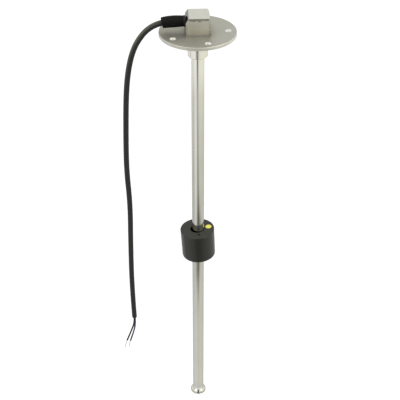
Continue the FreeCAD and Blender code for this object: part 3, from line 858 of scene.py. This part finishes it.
# How far the wedge turns to the left on each metre, and how sharp its two sides are by distance.
WEDGE_LEAN = 10
LEFT_SHARPNESS = [
    (0.5, 0.9), (0.55, 0.6), (0.58, 0.6), (0.603, 0.5), (0.62, 0.39), (0.635, 0.31), (0.655, 0.25),
    (0.7, 0.28), (0.8, 0.52), (0.84, 0.7), (0.95, 1.0),
]
RIGHT_SHARPNESS = [
    (0.5, 1.0), (0.58, 0.9), (0.62, 0.75), (0.64, 0.55), (0.66, 0.45), (0.72, 0.32), (0.79, 0.27),
    (0.84, 0.36), (0.88, 0.6), (0.92, 0.85), (0.97, 1.0),
]
# Farther out, where only low views from the sides and the back see it, dark wedges go all round.
OUTER_DEPTH = [(1.8, 0.0), (1.95, 0.62)]
OUTER_WEDGES = 3
OUTER_FADE = 34
# The card's tone runs from cool on the left to warm on the right, up to this angle.
TONE_ANGLE = 60
TONES = ((1.0, 1.0, 1.04), (1.0, 1.0, 0.95))

# The dark card stands upright behind the camera.
DARK_CARD_X = (-0.2, 0.14)
DARK_CARD_Y = -0.78
DARK_CARD_Z = (0.08, 0.6)


def light_paths(tree, *names):
    """1 for rays of any of these kinds, and 0 for others."""
    paths = tree.nodes.new("ShaderNodeLightPath")
    total = paths.outputs[names[0]]
    for name in names[1:]:
        most = tree.nodes.new("ShaderNodeMath")
        most.operation = "MAXIMUM"
        tree.links.new(total, most.inputs[0])
        tree.links.new(paths.outputs[name], most.inputs[1])
        total = most.outputs["Value"]
    return total


def make_world():
    """A white surrounding that lights the part a little less than it is seen."""
    world = bpy.data.worlds.new("studio")
    world.use_nodes = True
    bpy.context.scene.world = world
    tree = world.node_tree
    light = tree.nodes["Background"]
    seen = tree.nodes.new("ShaderNodeBackground")
    for background, strength in ((light, WORLD_LIGHT), (seen, 1.0)):
        background.inputs["Color"].default_value = (1.0, 1.0, 1.0, 1.0)
        background.inputs["Strength"].default_value = strength
    mix = tree.nodes.new("ShaderNodeMixShader")
    tree.links.new(light_paths(tree, *SEEN), mix.inputs["Fac"])
    tree.links.new(light.outputs["Background"], mix.inputs[1])
    tree.links.new(seen.outputs["Background"], mix.inputs[2])
    tree.links.new(mix.outputs["Shader"], tree.nodes["World Output"].inputs["Surface"])


def make_floor():
    """A plain white floor. What is seen of it is lifted to white, and shadows still darken it."""
    made = Shader("floor_white", (0.85,) * 3, 0.9, Specular_IOR_Level=0.0,
                  Emission_Color=(1.0, 1.0, 1.0, 1.0))
    span = made.node("ShaderNodeVectorMath", Vector=made.coordinates("Object"))
    span.operation = "LENGTH"
    (near, near_lift), (far, far_lift) = FLOOR_LIFT
    lift = made.spread(span.outputs["Value"], near_lift, far_lift, near, far)
    made.link(made.calc("MULTIPLY", light_paths(made.tree, *SEEN), lift), "Emission Strength")
    signs = ((-1, -1), (1, -1), (1, 1), (-1, 1))
    corners = [(x * FLOOR_HALF, y * FLOOR_HALF, FLOOR_LEVEL) for x, y in signs]
    add_mesh("floor", corners, [(0, 1, 2, 3)], made.material)


def add_card(name, corners, material):
    """A flat card that only reflections see."""
    card = add_mesh(name, corners, [tuple(range(len(corners)))], material)
    card.visible_camera = False
    card.visible_diffuse = False
    card.visible_transmission = False
    card.visible_shadow = False


def make_dark_card():
    """Stands for the camera and who holds it, as bright steel that faces them shows them."""
    dark = Shader("dark_card", (0.02,) * 3, 1.0, Specular_IOR_Level=0.0)
    left, right = DARK_CARD_X
    low, high = DARK_CARD_Z
    outline = ((left, low), (right, low), (right, high), (left, high))
    add_card("dark_card", [(x, DARK_CARD_Y, z) for x, z in outline], dark.material)


def make_reflector():
    """A disc over the floor that only reflections see.

    It has a dark wedge in front, a bright strip beside that, and dark wedges all round farther
    out."""
    made = Shader("reflector_card", (0.0,) * 3, 1.0, Specular_IOR_Level=0.0)
    x, y, _ = made.split(made.coordinates("Object"))
    turn = made.calc("DEGREES", made.calc("ARCTAN2", x, made.calc("MULTIPLY", y, -1.0)))
    span = made.calc("SQRT", made.squares(x, y))
    reach = made.calc("MULTIPLY", span, 1 / TABLE_REACH)

    def by_distance(table):
        stops = [(distance / TABLE_REACH, (level,) * 3) for distance, level in table]
        return made.ramp(reach, *stops)

    lean = made.calc("SUBTRACT", WEDGE[0], made.calc("MULTIPLY", span, WEDGE_LEAN))
    off_wedge = made.calc("SUBTRACT", turn, lean)
    off_left = made.calc("MULTIPLY", off_wedge, by_distance(LEFT_SHARPNESS))
    off_right = made.calc("MULTIPLY", off_wedge, by_distance(RIGHT_SHARPNESS))
    left = made.rise(off_left, -WEDGE[1], 0)
    right = made.fall(off_right, 0, WEDGE[2])
    wedge = made.calc("MINIMUM", left, right)
    wedge = made.calc("MULTIPLY", wedge, by_distance(WEDGE_DEPTH))

    off_outer = made.calc("PINGPONG", made.calc("SUBTRACT", turn, WEDGE[0]), 180 / OUTER_WEDGES)
    outer = made.calc("MULTIPLY", made.fall(off_outer, 0, OUTER_FADE), by_distance(OUTER_DEPTH))
    lit = made.calc("SUBTRACT", 1.0, made.calc("MAXIMUM", wedge, outer))
    level = made.calc("MULTIPLY", by_distance(CARD_LEVEL), lit)

    off_strip = made.calc("SUBTRACT", turn, STRIP[0])
    left = made.rise(off_strip, -STRIP[1], 0)
    right = made.fall(off_strip, 0, STRIP[2])
    strip = made.calc("MINIMUM", left, right)
    strip = made.calc("MULTIPLY", strip, by_distance(STRIP_LEVEL))
    made.link(made.calc("ADD", level, strip), "Emission Strength")

    cool, warm = TONES
    tone = made.ramp(made.rise(turn, -TONE_ANGLE, TONE_ANGLE), (0.0, cool), (1.0, warm))
    made.link(tone, "Emission Color")
    angles = [2 * math.pi * k / REFLECTOR_SIDES for k in range(REFLECTOR_SIDES)]
    rim = [(REFLECTOR_RADIUS * math.cos(a), REFLECTOR_RADIUS * math.sin(a)) for a in angles]
    height = FLOOR_LEVEL + REFLECTOR_RISE
    add_card("reflector", [(px, py, height) for px, py in rim], made.material)


def make_lamps():
    for name, place in LAMPS.items():
        lamp = bpy.data.lights.new(name, "AREA")
        lamp.size = LAMP_SIZE
        lamp.energy = LAMP_POWER
        made = bpy.data.objects.new(name, lamp)
        made.location = place
        aim = Vector(LAMP_AIM) - Vector(place)
        made.rotation_euler = aim.to_track_quat("-Z", "Y").to_euler()
        bpy.context.scene.collection.objects.link(made)


def make_studio():
    make_world()
    make_floor()
    make_reflector()
    make_dark_card()
    make_lamps()
    bpy.context.scene.view_settings.view_transform = "Standard"


def make_camera():
    camera = bpy.data.objects.new("camera", bpy.data.cameras.new("camera"))
    camera.location = Vector(CAMERA_PLACE) * MM
    camera.rotation_euler = (math.radians(90 - CAMERA_DOWN), 0, math.radians(-CAMERA_RIGHT))
    camera.data.sensor_width = CAMERA_SENSOR
    camera.data.lens = CAMERA_LENS
    camera.data.clip_start, camera.data.clip_end = CAMERA_SIGHT
    bpy.context.scene.collection.objects.link(camera)
    bpy.context.scene.camera = camera


make_camera()
make_cable()
make_welds()
dress_nodes()
make_studio()
